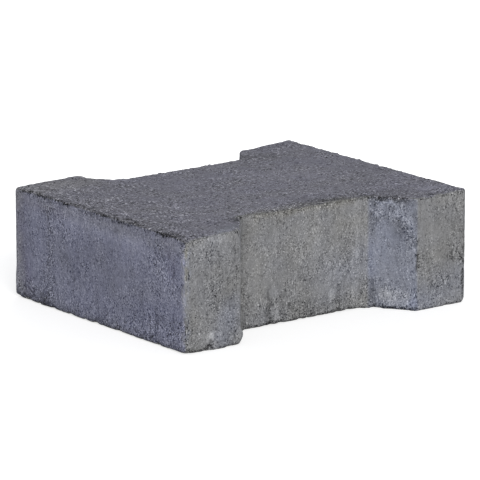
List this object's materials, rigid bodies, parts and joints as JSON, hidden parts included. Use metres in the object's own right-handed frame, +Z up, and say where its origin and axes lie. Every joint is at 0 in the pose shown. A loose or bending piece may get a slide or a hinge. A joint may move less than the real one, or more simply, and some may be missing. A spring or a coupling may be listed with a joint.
{
  "type": "concrete paving stone",
  "caption": "Double-T (H-shaped) interlocking paving stone: two wide heads joined by a narrower waist with sloping shoulders, cast in one piece.",
  "frame": {"origin": "centre of the bed, the underside that the stone lies on", "axes": "+X along the stone's length from head to head, +Y across the heads, +Z up out of the wearing face"},
  "size_m": [0.2, 0.165, 0.065],
  "materials": {
    "concrete": "matte"
  },
  "bodies": {
    "root": {"paving_stone": "concrete"}
  },
  "joints": []
}
